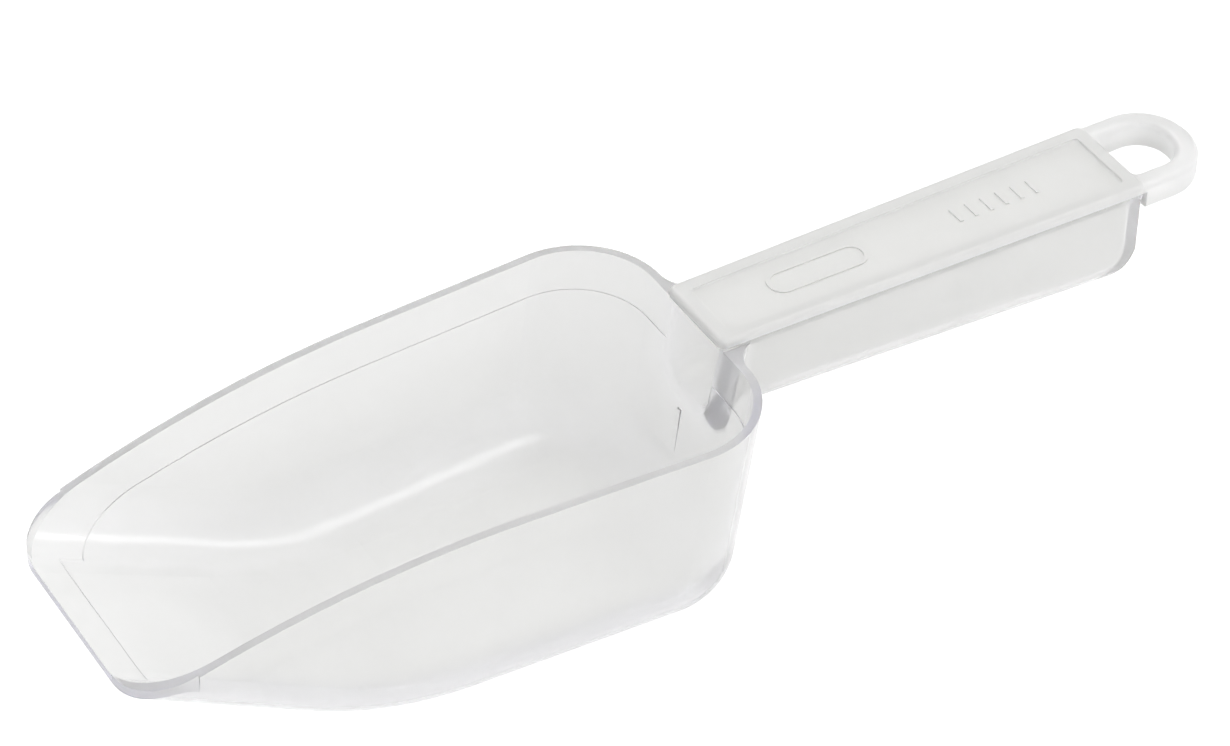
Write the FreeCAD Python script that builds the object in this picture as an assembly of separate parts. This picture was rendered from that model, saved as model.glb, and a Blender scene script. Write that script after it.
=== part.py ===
import FreeCAD, Part
import os
from math import atan, cos, radians, sin, sqrt, tan

# Ice scoop in two clear mouldings: an open-fronted bowl with a hollow trough of a handle behind it,
# and a frosted cover with a hanging loop that closes the trough from above.
# Millimetres, +Z up. Everything is drawn with x measured from the lip towards the handle, y across,
# z up from the table, and is moved at the end so that the origin is under the middle of the scoop.

# bowl
BOWL_LENGTH = 163.1         # lip to the outside of the back wall, at the rim
LIP_HALF_WIDTH = 34.1       # half width of the bowl where its sides reach the lip
BACK_HALF_WIDTH = 41.4      # half width where the sides meet the back corners
RIM_HEIGHT = 53.0           # table to rim, along the back half
WALL = 2.3                  # wall and floor thickness
BACK_CORNER_RADIUS = 22.3   # corners between sides and back wall, seen from above
FLOOR_RADIUS = 13.4         # outside rounding between the floor and the walls
INSIDE_FLOOR_RADIUS = 15.0  # the same inside, which leaves the corners thicker
SIDE_DRAFT = 0.005          # how far the sides lean in, per millimetre of depth
BACK_DRAFT = 0.139          # the same for the back wall
RAMP_START = 82.9           # where the flat floor starts to rise towards the lip
RAMP_RADIUS = 85.5          # outside radius of the bend up into the ramp
RAMP_ANGLE = radians(29.2)  # slope of the straight part of the ramp
LIP_CORNER_RADIUS = 14.3    # corners of the lip, seen from above

# rim
RIM_FALL_START = 92.3       # where the rim starts to fall towards the lip
RIM_FALL_RADIUS = 254.0     # radius of that fall, seen from the side
BAND_DEPTH = 11.0           # thinner band under the rim
LIP_BAND = 7.5              # width of that band on the floor behind the lip
BAND_STEP = 0.25            # how much thinner the wall is in the band

# handle trough, part of the same moulding as the bowl
HANDLE_FRONT = 160.3        # front edge of the cover, over the bowl's back wall
HANDLE_LENGTH = 119.5       # length of the cover
FRONT_HALF_WIDTH = 12.0     # half width of the cover at its front
REAR_HALF_WIDTH = 13.9      # half width of the cover at its rear
TROUGH_FRONT_DEPTH = 23.6   # seam to the underside of the trough, at the bowl
TROUGH_REAR_DEPTH = 28.6    # the same at the rear end
TROUGH_DRAFT = 0.05         # how far the trough's sides lean in, per millimetre of depth
TROUGH_WALL = 2.0
TROUGH_RADIUS = 7.5         # outside rounding along the trough's bottom
TROUGH_END_RADIUS = 13.5    # outside rounding between its bottom and its end wall, seen from the side
TROUGH_CORNER_RADIUS = 2.5  # outside rounding between its sides and its end wall
HOLLOW_CORNER_RADIUS = 4.0  # the same inside, which leaves thick corners
OPENING_ROUNDING = 1.8      # rounding of the opening's edge on the inside of the back wall
JUNCTION_RADIUS = 8.0       # blend between the trough and the bowl's back wall
SEAM_RISE = 0.7             # how far the ledge's top, the seam, stands above the rim
FLANGE_HEIGHT = 1.3         # ledge along the top of the trough, under the cover
FLANGE_STEP = 0.5           # how far the ledge stands out from the trough's sides

# cover and hanging loop, one moulding
SEAM_GAP = 0.05             # line of cement between the cover and the trough's ledge
COVER_THICKNESS = 2.4       # seam to the cover's top
COVER_EDGE_RADIUS = 1.2     # rounding of the cover's top edges
COVER_CORNER_RADIUS = 2.0   # corners of the cover, seen from above
PANEL_INSET = 4.0           # bead between the cover's edge and its sunken panel
PANEL_DEPTH = 0.5
PANEL_ROUNDING = 0.45       # rounding around the panel's floor
PANEL_CORNER_RADIUS = 1.0
COVER_WALL = 1.4            # thickness of the cover under its panel, where it is hollow below
TONGUE_DEPTH = 2.4          # frame under the cover that drops into the trough
TONGUE_WALL = 1.4
TONGUE_CORNER_RADIUS = 4.2
TONGUE_CLEARANCE = 0.15
LOOP_LENGTH = 22.1          # how far the loop reaches behind the cover
LOOP_HALF_WIDTH = 13.7
LOOP_END_RADIUS = 13.3
LOOP_ROOT = 3.0             # how far the loop is buried in the cover
LOOP_RISE = 2.0             # seam to the top of the loop
LOOP_DROP = 4.8             # seam to the underside of the loop
LOOP_RING = 5.7             # width of the ring, seen from above
LOOP_TOP_ROUNDING = 1.6     # rounding of the ring's upper edges
LOOP_BOTTOM_ROUNDING = 0.6  # rounding of its lower edges
LOOP_GAP = 0.4              # gap between the loop and the trough's end wall
HOLE_CORNER_RADIUS = 1.6    # corners of the hole beside the cover

# plain raised marks on the cover's panel
MARK_HEIGHT = 0.35
MARK_LINE = 0.9             # width of the raised lines
PILL_CENTRE = 34.0          # from the cover's front edge
PILL_LENGTH = 27.0
PILL_WIDTH = 8.0
BAR_CENTRE = 84.0
BAR_COUNT = 6
BAR_PITCH = 4.4
BAR_LENGTH = 5.0

# shallow upright rib that the mould leaves on the back wall, under the handle's opening
RIB_HEIGHT = 13.0
RIB_WIDTH = 1.3
RIB_DEPTH = 0.5

REACH = 30.0                # how far cutting shapes run past the faces that they cut
BURIED = 12.0               # how far the trough starts inside the bowl's full block
NEAR = 0.01                 # two places closer than this count as the same
SEAM_HEIGHT = RIM_HEIGHT + SEAM_RISE
OVERALL_LENGTH = HANDLE_FRONT + HANDLE_LENGTH + LOOP_LENGTH


def vec(x, y, z):
    return FreeCAD.Vector(x, y, z)


def line(start, end):
    return Part.LineSegment(start, end).toShape()


def arc(start, middle, end):
    return Part.Arc(start, middle, end).toShape()


def prism(edges, direction):
    """Solid made by pushing the flat outline made of these edges along a direction."""
    return Part.Face(Part.Wire(edges)).extrude(direction)


def closed_polyline(points):
    """Edges of the closed outline through these points."""
    return [line(a, b) for a, b in zip(points, points[1:] + points[:1])]


def across(edges):
    """Solid that fills a side view's outline over the scoop's whole width."""
    half = BACK_HALF_WIDTH + REACH
    solid = prism(edges, vec(0, 2 * half, 0))
    solid.translate(vec(0, -half, 0))
    return solid


def mirrored(point):
    return vec(point.x, -point.y, point.z)


# ---- bowl ----

def bowl_outline(z, inset, front):
    """Outline of the bowl at height z, its walls moved in by inset, open end at x = front."""
    slope = atan((BACK_HALF_WIDTH - LIP_HALF_WIDTH) / (BOWL_LENGTH - BACK_CORNER_RADIUS))
    drop = RIM_HEIGHT - z
    radius = BACK_CORNER_RADIUS - inset - drop * SIDE_DRAFT
    back = BOWL_LENGTH - inset - drop * BACK_DRAFT
    at_lip = LIP_HALF_WIDTH - (inset + drop * SIDE_DRAFT) / cos(slope)
    centre = vec(back - radius, at_lip + (back - radius) * tan(slope) - radius / cos(slope), z)
    turn = (radians(90) + slope) / 2
    at_front = vec(front, at_lip + front * tan(slope), z)
    on_side = centre + vec(-radius * sin(slope), radius * cos(slope), 0)
    on_corner = centre + vec(radius * cos(turn), radius * sin(turn), 0)
    on_back = centre + vec(radius, 0, 0)
    return Part.Wire([
        line(mirrored(at_front), mirrored(on_side)),
        arc(mirrored(on_side), mirrored(on_corner), mirrored(on_back)),
        line(mirrored(on_back), on_back),
        arc(on_back, on_corner, on_side),
        line(on_side, at_front),
        line(at_front, mirrored(at_front)),
    ])


def under_floor(lift, front):
    """Everything under the floor's side view, which is flat, then bends up into the ramp.

    lift moves the surface up, square to itself: 0 is the outside, WALL is the inside."""
    radius = RAMP_RADIUS - lift
    rear = BOWL_LENGTH + REACH

    def on_bend(angle):
        return vec(RAMP_START - radius * sin(angle), 0, RAMP_RADIUS - radius * cos(angle))

    bend_end = on_bend(RAMP_ANGLE)
    ramp_top = vec(front, 0, bend_end.z + (bend_end.x - front) * tan(RAMP_ANGLE))
    return across([
        line(vec(rear, 0, lift), vec(RAMP_START, 0, lift)),
        arc(vec(RAMP_START, 0, lift), on_bend(RAMP_ANGLE / 2), bend_end),
        line(bend_end, ramp_top),
        line(ramp_top, vec(front, 0, -REACH)),
        line(vec(front, 0, -REACH), vec(rear, 0, -REACH)),
        line(vec(rear, 0, -REACH), vec(rear, 0, lift)),
    ])


def floor_edges(solid, lift, front):
    """Edges where the floor and the ramp meet the walls, which get the floor's rounding."""
    under = under_floor(lift, front)
    found = []
    for edge in solid.Edges:
        ends = [edge.valueAt(edge.FirstParameter), edge.valueAt(edge.LastParameter)]
        middle = edge.valueAt((edge.FirstParameter + edge.LastParameter) / 2)
        on_floor = under.Shells[0].distToShape(Part.Vertex(middle))[0] < NEAR
        crosses = abs(ends[0].y + ends[1].y) < NEAR and middle.x < RAMP_START + NEAR
        at_front = middle.x < front + NEAR
        if on_floor and not crosses and not at_front:
            found.append(edge)
    return found


def tub(inset, front):
    """The bowl as one full block, or its inside as one, depending on inset; it runs on past the lip."""
    top = RIM_HEIGHT + REACH
    walls = Part.makeLoft([bowl_outline(0, inset, front), bowl_outline(top, inset, front)], True, True)
    block = walls.cut(under_floor(inset, front - REACH))
    radius = INSIDE_FLOOR_RADIUS if inset else FLOOR_RADIUS
    return block.makeFillet(radius, floor_edges(block, inset, front - REACH))


def under_rim(drop):
    """Everything under a line that follows the rim from the side, this far below it."""
    fall_end = RIM_FALL_START - sqrt(2 * RIM_FALL_RADIUS * (RIM_HEIGHT - lip_top()))
    rear = OVERALL_LENGTH + REACH
    fall_middle = (RIM_FALL_START + fall_end) / 2

    def on_fall(x):
        return vec(x, 0, RIM_HEIGHT - drop - (RIM_FALL_START - x) ** 2 / (2 * RIM_FALL_RADIUS))

    lip_level = lip_top() - drop
    return across([
        line(vec(rear, 0, RIM_HEIGHT - drop), vec(RIM_FALL_START, 0, RIM_HEIGHT - drop)),
        arc(vec(RIM_FALL_START, 0, RIM_HEIGHT - drop), on_fall(fall_middle), vec(fall_end, 0, lip_level)),
        line(vec(fall_end, 0, lip_level), vec(-REACH, 0, lip_level)),
        line(vec(-REACH, 0, lip_level), vec(-REACH, 0, -REACH)),
        line(vec(-REACH, 0, -REACH), vec(rear, 0, -REACH)),
        line(vec(rear, 0, -REACH), vec(rear, 0, RIM_HEIGHT - drop)),
    ])


def lip_top():
    """Height of the inside of the ramp at the lip."""
    radius = RAMP_RADIUS - WALL
    bend_end_x = RAMP_START - radius * sin(RAMP_ANGLE)
    return RAMP_RADIUS - radius * cos(RAMP_ANGLE) + bend_end_x * tan(RAMP_ANGLE)


def lip_plan():
    """Upright block whose front end has the lip's straight edge and rounded corners."""
    half = LIP_HALF_WIDTH
    radius = LIP_CORNER_RADIUS
    rear = OVERALL_LENGTH + REACH
    diagonal = radius * (1 - cos(radians(45)))
    wide = vec(radius, half, -REACH)
    on_lip = vec(0, half - radius, -REACH)
    on_corner = vec(diagonal, half - diagonal, -REACH)
    outer = vec(radius, half + REACH, -REACH)
    rear_outer = vec(rear, half + REACH, -REACH)
    edges = [
        line(mirrored(on_lip), on_lip),
        arc(on_lip, on_corner, wide),
        line(wide, outer),
        line(outer, rear_outer),
        line(rear_outer, mirrored(rear_outer)),
        line(mirrored(rear_outer), mirrored(outer)),
        line(mirrored(outer), mirrored(wide)),
        arc(mirrored(wide), mirrored(on_corner), mirrored(on_lip)),
    ]
    return prism(edges, vec(0, 0, 3 * REACH + RIM_HEIGHT))


def band_cut(cavity):
    """Thin skin taken off the inside of the walls along the rim and off the floor along the lip."""
    wide = tub(WALL - BAND_STEP, -2 * REACH).cut(cavity)
    strip = Part.makeBox(LIP_BAND + REACH, 4 * BACK_HALF_WIDTH, 3 * REACH,
                         vec(-REACH, -2 * BACK_HALF_WIDTH, -REACH))
    high = wide.cut(under_rim(BAND_DEPTH))
    return high.cut(under_floor(WALL + 2 * BAND_STEP, -REACH)).fuse(wide.common(strip))


# ---- handle trough ----

def cover_half_width(x):
    """Half width of the cover, and of the ledge under it, which widen towards the rear."""
    return FRONT_HALF_WIDTH + (REAR_HALF_WIDTH - FRONT_HALF_WIDTH) * (x - HANDLE_FRONT) / HANDLE_LENGTH


def trough_depth(x):
    """Depth of the trough below the seam, which grows towards the rear."""
    growth = TROUGH_REAR_DEPTH - TROUGH_FRONT_DEPTH
    return TROUGH_FRONT_DEPTH + growth * (x - HANDLE_FRONT) / HANDLE_LENGTH


def trough_section(x, inset):
    """Outline across the trough at x, moved in by inset, its walls running up past the seam."""
    half = cover_half_width(x) - FLANGE_STEP - inset
    bottom = trough_depth(x) - inset
    radius = TROUGH_RADIUS - inset
    lean = atan(TROUGH_DRAFT)
    turn = (radians(90) + lean) / 2
    centre_y = half - TROUGH_DRAFT * (bottom - radius) - radius / cos(lean)
    centre = vec(x, centre_y, SEAM_HEIGHT - bottom + radius)
    high = vec(x, half + TROUGH_DRAFT * REACH, SEAM_HEIGHT + REACH)
    on_side = centre + vec(0, radius * cos(lean), -radius * sin(lean))
    on_corner = centre + vec(0, radius * cos(turn), -radius * sin(turn))
    on_bottom = centre + vec(0, 0, -radius)
    return Part.Wire([
        line(mirrored(high), mirrored(on_side)),
        arc(mirrored(on_side), mirrored(on_corner), mirrored(on_bottom)),
        line(mirrored(on_bottom), on_bottom),
        arc(on_bottom, on_corner, on_side),
        line(on_side, high),
        line(high, mirrored(high)),
    ])


def trough_side_view(inset, front):
    """Block with the trough's outline from the side, its bottom sloping and its rear corner round."""
    rear = HANDLE_FRONT + HANDLE_LENGTH - inset
    top = SEAM_HEIGHT + REACH
    low_front = vec(front, 0, SEAM_HEIGHT - trough_depth(front) + inset)
    low_rear = vec(rear, 0, SEAM_HEIGHT - trough_depth(rear) + inset)
    outline = closed_polyline([vec(front, 0, top), low_front, low_rear, vec(rear, 0, top)])
    block = across(outline)
    corner = [edge for edge in block.Edges
              if edge.CenterOfMass.x > rear - NEAR and edge.CenterOfMass.z < SEAM_HEIGHT - REACH / 2]
    return block.makeFillet(TROUGH_END_RADIUS - inset, corner)


def trough_plan(inset, front, corner_radius):
    """Upright block a little wider than the trough, which gives it its round rear corners."""
    rear = HANDLE_FRONT + HANDLE_LENGTH - inset
    spare = FLANGE_STEP / 2 - inset
    at_front = vec(front, cover_half_width(front) - FLANGE_STEP + spare, -REACH)
    at_rear = vec(rear, cover_half_width(rear) - FLANGE_STEP + spare, -REACH)
    outline = closed_polyline([at_front, at_rear, mirrored(at_rear), mirrored(at_front)])
    block = prism(outline, vec(0, 0, SEAM_HEIGHT + 3 * REACH))
    upright = [edge for edge in block.Edges
               if edge.BoundBox.ZLength > REACH and edge.CenterOfMass.x > rear - NEAR]
    return block.makeFillet(corner_radius, upright)


def trough_block(inset, front, corner_radius):
    """The trough as a full block, or its hollow as one, depending on inset."""
    rear = HANDLE_FRONT + HANDLE_LENGTH
    block = Part.makeLoft([trough_section(front, inset), trough_section(rear, inset)], True, True)
    return block.common(trough_side_view(inset, front)).common(trough_plan(inset, front, corner_radius))


def back_wall_x(z):
    """Outside of the bowl's back wall at height z."""
    return BOWL_LENGTH - (RIM_HEIGHT - z) * BACK_DRAFT


def junction_edges(solid, inset):
    """Edges where the trough meets the back wall: on the outside, or on the inside moved in by inset."""
    found = []
    for edge in solid.Edges:
        span = edge.LastParameter - edge.FirstParameter
        points = [edge.valueAt(edge.FirstParameter + span * share) for share in (0, 0.25, 0.5, 0.75, 1)]
        on_wall = all(abs(point.x - back_wall_x(point.z) + inset) < NEAR for point in points)
        near_trough = all(abs(point.y) < REAR_HALF_WIDTH for point in points)
        under_top = edge.BoundBox.ZMin < RIM_HEIGHT
        if on_wall and near_trough and under_top:
            found.append(edge)
    return found


def cover_plan(low, high, inset=0.0, radius=COVER_CORNER_RADIUS):
    """Plate with the cover's outline, moved in by inset, between two heights above the seam."""
    front = HANDLE_FRONT + inset
    rear = HANDLE_FRONT + HANDLE_LENGTH - inset
    at_front = vec(front, cover_half_width(front) - inset, SEAM_HEIGHT + low)
    at_rear = vec(rear, cover_half_width(rear) - inset, SEAM_HEIGHT + low)
    plate = prism(closed_polyline([at_front, at_rear, mirrored(at_rear), mirrored(at_front)]),
                  vec(0, 0, high - low))
    upright = [edge for edge in plate.Edges if edge.BoundBox.ZLength > (high - low) / 2]
    return plate.makeFillet(radius, upright)


# ---- the two mouldings ----

def scoop_body():
    """Bowl and handle trough, one clear moulding."""
    solid = tub(0, -REACH).fuse(trough_block(0, BOWL_LENGTH - BURIED, TROUGH_CORNER_RADIUS))
    solid = solid.makeFillet(JUNCTION_RADIUS, junction_edges(solid, 0))
    solid = solid.common(under_rim(0)).common(lip_plan()).fuse(cover_plan(-FLANGE_HEIGHT, 0))
    cavity = tub(WALL, -2 * REACH)
    hollow = trough_block(TROUGH_WALL, BOWL_LENGTH - BACK_CORNER_RADIUS, HOLLOW_CORNER_RADIUS)
    void = cavity.fuse(hollow)
    void = void.makeFillet(OPENING_ROUNDING, junction_edges(void, WALL))
    return solid.cut(void).cut(band_cut(cavity)).fuse(mould_rib())


def mould_rib():
    """Shallow upright rib on the inside of the back wall, just under the handle's opening."""
    top = SEAM_HEIGHT - TROUGH_FRONT_DEPTH - OPENING_ROUNDING
    inside = BOWL_LENGTH - WALL
    height_step = vec(-RIB_HEIGHT * BACK_DRAFT, 0, -RIB_HEIGHT)
    start = vec(inside - (RIM_HEIGHT - top) * BACK_DRAFT, 0, top)
    outline = closed_polyline([
        start + vec(WALL / 2, 0, 0),
        start + vec(-RIB_DEPTH, 0, 0),
        start + height_step,
        start + height_step + vec(WALL / 2, 0, 0),
    ])
    rib = prism(outline, vec(0, RIB_WIDTH, 0))
    rib.translate(vec(0, -RIB_WIDTH / 2, 0))
    return rib


def hanging_loop():
    """D-shaped ring behind the cover, cut back at the front to clear the trough's end."""
    start = HANDLE_FRONT + HANDLE_LENGTH
    gap_end = start + LOOP_GAP
    ring = loop_block(start - LOOP_ROOT, LOOP_HALF_WIDTH, start + LOOP_LENGTH, LOOP_END_RADIUS)
    hole_end = start + LOOP_LENGTH - LOOP_RING
    hole = loop_block(gap_end, LOOP_HALF_WIDTH - LOOP_RING, hole_end, LOOP_END_RADIUS - LOOP_RING)
    front_corners = [edge for edge in hole.Edges
                     if edge.BoundBox.ZLength > LOOP_DROP and edge.CenterOfMass.x < gap_end + NEAR]
    ring = ring.cut(hole.makeFillet(HOLE_CORNER_RADIUS, front_corners))
    flat = [edge for edge in ring.Edges
            if edge.BoundBox.ZLength < NEAR and edge.CenterOfMass.x > gap_end + NEAR]
    upper = [edge for edge in flat if edge.CenterOfMass.z > SEAM_HEIGHT + LOOP_RISE - NEAR]
    ring = ring.makeFillet(LOOP_TOP_ROUNDING, upper)
    flat = [edge for edge in ring.Edges
            if edge.BoundBox.ZLength < NEAR and edge.CenterOfMass.x > gap_end + NEAR]
    lower = [edge for edge in flat if edge.CenterOfMass.z < SEAM_HEIGHT - LOOP_DROP + NEAR]
    ring = ring.makeFillet(LOOP_BOTTOM_ROUNDING, lower)
    under_cover = vec(gap_end - REACH, -REACH, SEAM_HEIGHT + SEAM_GAP - REACH)
    return ring.cut(Part.makeBox(REACH, 2 * REACH, REACH, under_cover))


def loop_block(front, half, rear, radius):
    """Block as tall as the loop, square at the front and with two round corners at the rear."""
    z = SEAM_HEIGHT - LOOP_DROP
    diagonal = radius * sin(radians(45))
    centre = vec(rear - radius, half - radius, z)
    on_side = centre + vec(0, radius, 0)
    on_corner = centre + vec(diagonal, diagonal, 0)
    on_rear = centre + vec(radius, 0, 0)
    edges = [
        line(vec(front, -half, z), mirrored(on_side)),
        arc(mirrored(on_side), mirrored(on_corner), mirrored(on_rear)),
        line(mirrored(on_rear), on_rear),
        arc(on_rear, on_corner, on_side),
        line(on_side, vec(front, half, z)),
        line(vec(front, half, z), vec(front, -half, z)),
    ]
    return prism(edges, vec(0, 0, LOOP_RISE + LOOP_DROP))


def pill(length, width, height):
    """Upright block with round ends, centred on the pill mark."""
    z = SEAM_HEIGHT + COVER_THICKNESS - PANEL_DEPTH - MARK_LINE
    centre = HANDLE_FRONT + PILL_CENTRE
    half = length / 2 - width / 2
    middle = Part.makeBox(2 * half, width, height, vec(centre - half, -width / 2, z))
    ends = [Part.makeCylinder(width / 2, height, vec(centre + side * half, 0, z)) for side in (-1, 1)]
    return middle.fuse(ends)


def panel_marks():
    """Plain raised marks: a long round-ended ring, and a row of short bars."""
    height = MARK_LINE + MARK_HEIGHT
    ring = pill(PILL_LENGTH, PILL_WIDTH, height).cut(
        pill(PILL_LENGTH - 2 * MARK_LINE, PILL_WIDTH - 2 * MARK_LINE, height))
    z = SEAM_HEIGHT + COVER_THICKNESS - PANEL_DEPTH - MARK_LINE
    first = HANDLE_FRONT + BAR_CENTRE - BAR_PITCH * (BAR_COUNT - 1) / 2
    bars = [Part.makeBox(MARK_LINE, BAR_LENGTH, height, vec(first + index * BAR_PITCH, -BAR_LENGTH / 2, z))
            for index in range(BAR_COUNT)]
    return [ring] + bars


def handle_cover():
    """Cover shell with a sunken panel, its tongue frame and the hanging loop, one frosted moulding."""
    plate = cover_plan(SEAM_GAP, COVER_THICKNESS)
    top_edges = [edge for edge in plate.Edges if edge.BoundBox.ZMin > SEAM_HEIGHT + COVER_THICKNESS - NEAR]
    plate = plate.makeFillet(COVER_EDGE_RADIUS, top_edges)
    panel_floor = COVER_THICKNESS - PANEL_DEPTH
    panel = cover_plan(panel_floor, COVER_THICKNESS + PANEL_DEPTH, PANEL_INSET, PANEL_CORNER_RADIUS)
    around_floor = [edge for edge in panel.Edges if edge.BoundBox.ZMax < SEAM_HEIGHT + panel_floor + NEAR]
    plate = plate.cut(panel.makeFillet(PANEL_ROUNDING, around_floor))
    tongue_inset = FLANGE_STEP + TROUGH_WALL + TONGUE_CLEARANCE
    ceiling = panel_floor - COVER_WALL
    tongue = cover_plan(-TONGUE_DEPTH, ceiling, tongue_inset, TONGUE_CORNER_RADIUS)
    hollow = cover_plan(-TONGUE_DEPTH, ceiling, tongue_inset + TONGUE_WALL, TONGUE_CORNER_RADIUS)
    return plate.fuse([hanging_loop(), tongue] + panel_marks()).cut(hollow).removeSplitter()


SUB_PARTS = {"scoop_body": scoop_body, "handle_cover": handle_cover}

os.makedirs("parts", exist_ok=True)
for name, make in SUB_PARTS.items():
    shape = make()
    shape.translate(vec(-OVERALL_LENGTH / 2, 0, 0))
    shape.exportStep("parts/" + name + ".step")
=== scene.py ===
import bpy
from math import cos, radians, sin
from mathutils import Matrix, Vector


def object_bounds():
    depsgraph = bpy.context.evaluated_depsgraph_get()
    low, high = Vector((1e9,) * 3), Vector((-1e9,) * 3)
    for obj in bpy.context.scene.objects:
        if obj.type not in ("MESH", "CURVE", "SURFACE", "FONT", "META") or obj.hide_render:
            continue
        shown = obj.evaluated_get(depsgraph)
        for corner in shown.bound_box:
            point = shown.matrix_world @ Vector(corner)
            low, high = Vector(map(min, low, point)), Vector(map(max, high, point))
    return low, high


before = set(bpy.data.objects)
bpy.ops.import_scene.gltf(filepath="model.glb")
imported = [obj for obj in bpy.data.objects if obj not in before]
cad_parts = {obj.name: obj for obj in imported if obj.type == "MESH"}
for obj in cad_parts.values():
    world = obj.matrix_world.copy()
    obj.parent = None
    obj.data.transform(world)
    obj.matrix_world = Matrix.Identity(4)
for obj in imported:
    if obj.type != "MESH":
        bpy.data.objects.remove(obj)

CAD_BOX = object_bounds()

# camera, as seen from the lip's side of the scoop
AZIMUTH = radians(31.6)        # turned from straight across the scoop towards its lip
ELEVATION = radians(40.93)     # above the table
ROLL = radians(0.96)
DISTANCE = 1.0427              # metres from the aim point
AIM = Vector((-0.00125, 0.0170, 0.030))   # metres
LENS = 129.0                   # mm
SENSOR_WIDTH = 36.0            # mm

# table
TABLE_SIZE = 8.0               # metres
TABLE_CLEARANCE = 0.0002       # metres below the scoop
PAPER_SCALE = 400.0            # cells per metre
TABLE_ROUGHNESS, TABLE_SPECULAR = 0.9, 0.1
TABLE_GLOW = 0.8               # light from inside the white table
TABLE_SHADES = ((0.38, 0.38, 0.38, 1), (0.40, 0.40, 0.40, 1))

# sky, by its height from the horizon at 0 to straight up at 1
SKY_STRENGTH = 0.78
HORIZON = (0.88, 0.88, 0.95, 1)
ZENITH = (1.0, 1.0, 1.0, 1)
HORIZON_HEIGHT, ZENITH_HEIGHT = 0.05, 0.55

# lamps: name, place in metres, size in metres, power in watts
SOFTBOXES = (
    ("softbox_back", (0.2, 1.2, 1.3), (1.4, 0.5), 2.6),
    ("softbox_top", (-0.3, 0.0, 1.6), (0.9, 0.9), 0.8),
    ("softbox_streak", (0.52, -0.40, 1.30), (0.25, 0.5), 1.9),   # shines in the rounding of the floor
    ("softbox_ramp", (1.0, -0.32, 0.87), (0.25, 1.2), 4.2),      # carries that shine on to the lip
    ("softbox_front", (-0.3, -1.3, 0.5), (1.0, 0.6), 2.2),       # lightens the rim
)

# light paths: light gets out of thick clear edges only after many turns inside them
MOST_BOUNCES = 32
TRANSMISSION_BOUNCES = 24
GLOSSY_BOUNCES = 16
DIFFUSE_BOUNCES = 12

# how many finer layers a noise has
SMOOTH, FINE, CLOUDY = 1.0, 2.0, 3.0

# clear plastic of the bowl and the trough
CLEAR_TRANSMISSION = 0.68
CLEAR_IOR = 1.34               # low, because the milky share already softens what is seen through it
CLEAR_SHADES = ((0.91, 0.91, 0.892, 1), (0.93, 0.93, 0.912, 1))
CLEAR_ROUGHNESS = (0.10, 0.15)
CLEAR_TINT, CLEAR_DENSITY = (0.42, 0.39, 0.80, 1), 10.0
HAZE_SCALE = 60.0              # cells per metre
SCRATCH_SCALE, SCRATCH_STRETCH = 900.0, (0.15, 1.0, 1.0)
RIPPLE_SCALE, RIPPLE_STRENGTH, RIPPLE_HEIGHT = 130.0, 0.04, 0.0005

# frosted plastic of the cover and the loop
FROSTED_TRANSMISSION = 0.45
FROSTED_IOR = 1.46
FROSTED_SHADES = ((0.915, 0.915, 0.895, 1), (0.935, 0.935, 0.915, 1))
FROSTED_ROUGHNESS = (0.28, 0.40)
FROSTED_TINT, FROSTED_DENSITY = (0.44, 0.42, 0.70, 1), 12.0
CLOUD_SCALE = 90.0             # cells per metre
MATT_SCALE = 700.0
GRAIN_SCALE, GRAIN_STRENGTH, GRAIN_HEIGHT = 2500.0, 0.12, 0.0002


def new_material(name):
    """A fresh node material; returns it with its node tree and its Principled shader."""
    material = bpy.data.materials.new(name)
    material.use_nodes = True
    tree = material.node_tree
    return material, tree, tree.nodes["Principled BSDF"]


def add_node(tree, kind, **values):
    """A node with some of its inputs set."""
    node = tree.nodes.new(kind)
    for name, value in values.items():
        node.inputs[name.replace("_", " ")].default_value = value
    return node


def noise(tree, scale, detail, stretch=(1, 1, 1)):
    """Noise in object space, in cells per metre, stretched along the axes."""
    place = tree.nodes.new("ShaderNodeTexCoord")
    squeeze = add_node(tree, "ShaderNodeMapping", Scale=stretch)
    texture = add_node(tree, "ShaderNodeTexNoise", Scale=scale, Detail=detail)
    tree.links.new(place.outputs["Object"], squeeze.inputs["Vector"])
    tree.links.new(squeeze.outputs["Vector"], texture.inputs["Vector"])
    return texture.outputs["Fac"]


def spread(tree, value, low, high, start=0.3, end=0.7):
    """Maps a noise value onto the range from low to high."""
    node = add_node(tree, "ShaderNodeMapRange", From_Min=start, From_Max=end, To_Min=low, To_Max=high)
    tree.links.new(value, node.inputs["Value"])
    return node.outputs["Result"]


def tint(tree, value, first, second):
    """Colour between first and second by a value from 0 to 1."""
    node = tree.nodes.new("ShaderNodeMix")
    node.data_type = "RGBA"
    node.inputs["A"].default_value = first
    node.inputs["B"].default_value = second
    tree.links.new(value, node.inputs["Factor"])
    return node.outputs["Result"]


def shade(tree, shader, value, shades):
    """Base colour that wanders between two close shades."""
    tree.links.new(tint(tree, spread(tree, value, 0.0, 1.0), *shades), shader.inputs["Base Color"])


def bump(tree, shader, value, strength, distance):
    """Surface relief from a value, with its height in metres."""
    node = add_node(tree, "ShaderNodeBump", Strength=strength, Distance=distance)
    tree.links.new(value, node.inputs["Height"])
    tree.links.new(node.outputs["Normal"], shader.inputs["Normal"])


def absorb(tree, colour, density):
    """Plastic that takes up a little light on its way through, so that thick edges look darker."""
    volume = add_node(tree, "ShaderNodeVolumeAbsorption", Color=colour, Density=density)
    tree.links.new(volume.outputs["Volume"], tree.nodes["Material Output"].inputs["Volume"])


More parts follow.
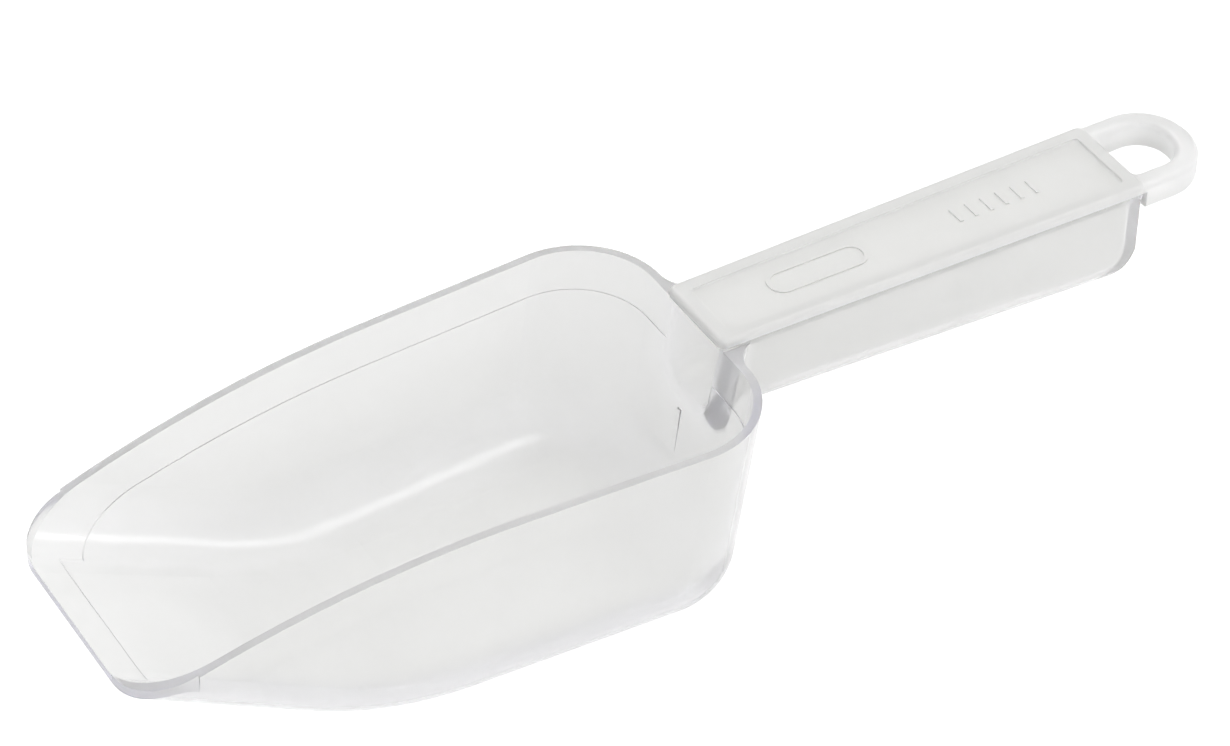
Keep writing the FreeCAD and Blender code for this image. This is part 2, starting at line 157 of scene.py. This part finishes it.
def clear_plastic():
    """Clear polycarbonate with handling haze, hairline scratches and a faint moulding ripple."""
    material, tree, shader = new_material("clear_polycarbonate")
    shader.inputs["Transmission Weight"].default_value = CLEAR_TRANSMISSION
    shader.inputs["IOR"].default_value = CLEAR_IOR
    shade(tree, shader, noise(tree, HAZE_SCALE, CLOUDY), CLEAR_SHADES)
    scratches = noise(tree, SCRATCH_SCALE, FINE, SCRATCH_STRETCH)
    tree.links.new(spread(tree, scratches, *CLEAR_ROUGHNESS), shader.inputs["Roughness"])
    bump(tree, shader, noise(tree, RIPPLE_SCALE, SMOOTH), RIPPLE_STRENGTH, RIPPLE_HEIGHT)
    absorb(tree, CLEAR_TINT, CLEAR_DENSITY)
    return material


def frosted_plastic():
    """The same plastic from a finely textured mould: it blurs what is under it."""
    material, tree, shader = new_material("frosted_polycarbonate")
    shader.inputs["Transmission Weight"].default_value = FROSTED_TRANSMISSION
    shader.inputs["IOR"].default_value = FROSTED_IOR
    shade(tree, shader, noise(tree, CLOUD_SCALE, CLOUDY), FROSTED_SHADES)
    matt = spread(tree, noise(tree, MATT_SCALE, FINE), *FROSTED_ROUGHNESS)
    tree.links.new(matt, shader.inputs["Roughness"])
    bump(tree, shader, noise(tree, GRAIN_SCALE, FINE), GRAIN_STRENGTH, GRAIN_HEIGHT)
    absorb(tree, FROSTED_TINT, FROSTED_DENSITY)
    return material


def dress(node, material):
    """Gives every slot of a CAD node the material."""
    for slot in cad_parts[node].material_slots:
        slot.material = material


def add_floor():
    """White paper table, lit a little from inside, so that it stays white around the scoop."""
    height = CAD_BOX[0][2] - TABLE_CLEARANCE
    bpy.ops.mesh.primitive_plane_add(size=TABLE_SIZE, location=(0, 0, height))
    floor = bpy.context.object
    floor.name = "studio_floor"
    material, tree, shader = new_material("studio_paper")
    shade(tree, shader, noise(tree, PAPER_SCALE, FINE), TABLE_SHADES)
    shader.inputs["Roughness"].default_value = TABLE_ROUGHNESS
    shader.inputs["Specular IOR Level"].default_value = TABLE_SPECULAR
    shader.inputs["Emission Color"].default_value = (1, 1, 1, 1)
    shader.inputs["Emission Strength"].default_value = TABLE_GLOW
    floor.data.materials.append(material)


def add_softbox(name, place, size, power):
    """Rectangular lamp aimed at the scoop."""
    data = bpy.data.lights.new(name, "AREA")
    data.shape = "RECTANGLE"
    data.size, data.size_y = size
    data.energy = power
    lamp = bpy.data.objects.new(name, data)
    lamp.location = place
    lamp.rotation_euler = (AIM - Vector(place)).to_track_quat("-Z", "Y").to_euler()
    bpy.context.collection.objects.link(lamp)


def add_sky():
    """White above and darker lavender grey towards the horizon, which the edges of the plastic pick up."""
    world = bpy.data.worlds.new("studio")
    bpy.context.scene.world = world
    world.use_nodes = True
    tree = world.node_tree
    place = tree.nodes.new("ShaderNodeTexCoord")
    split = tree.nodes.new("ShaderNodeSeparateXYZ")
    tree.links.new(place.outputs["Generated"], split.inputs["Vector"])
    height = spread(tree, split.outputs["Z"], 0.0, 1.0, HORIZON_HEIGHT, ZENITH_HEIGHT)
    colour = tint(tree, height, HORIZON, ZENITH)
    background = tree.nodes["Background"]
    tree.links.new(colour, background.inputs["Color"])
    background.inputs["Strength"].default_value = SKY_STRENGTH


def allow_many_bounces():
    """Sets how often light may turn before it is given up."""
    cycles = bpy.context.scene.cycles
    cycles.max_bounces = MOST_BOUNCES
    cycles.transmission_bounces = TRANSMISSION_BOUNCES
    cycles.glossy_bounces = GLOSSY_BOUNCES
    cycles.diffuse_bounces = DIFFUSE_BOUNCES


def add_camera():
    """Camera that looks down at the scoop from beside its lip."""
    forward = Vector((sin(AZIMUTH) * cos(ELEVATION), cos(AZIMUTH) * cos(ELEVATION), -sin(ELEVATION)))
    rotation = forward.to_track_quat("-Z", "Y").to_matrix() @ Matrix.Rotation(ROLL, 3, "Z")
    data = bpy.data.cameras.new("camera")
    data.lens = LENS
    data.sensor_width = SENSOR_WIDTH
    camera = bpy.data.objects.new("camera", data)
    camera.matrix_world = Matrix.Translation(AIM - forward * DISTANCE) @ rotation.to_4x4()
    bpy.context.collection.objects.link(camera)
    bpy.context.scene.camera = camera


dress("scoop_body", clear_plastic())
dress("handle_cover", frosted_plastic())
add_floor()
add_sky()
for softbox in SOFTBOXES:
    add_softbox(*softbox)
allow_many_bounces()
add_camera()
bpy.context.scene.view_settings.view_transform = "Standard"
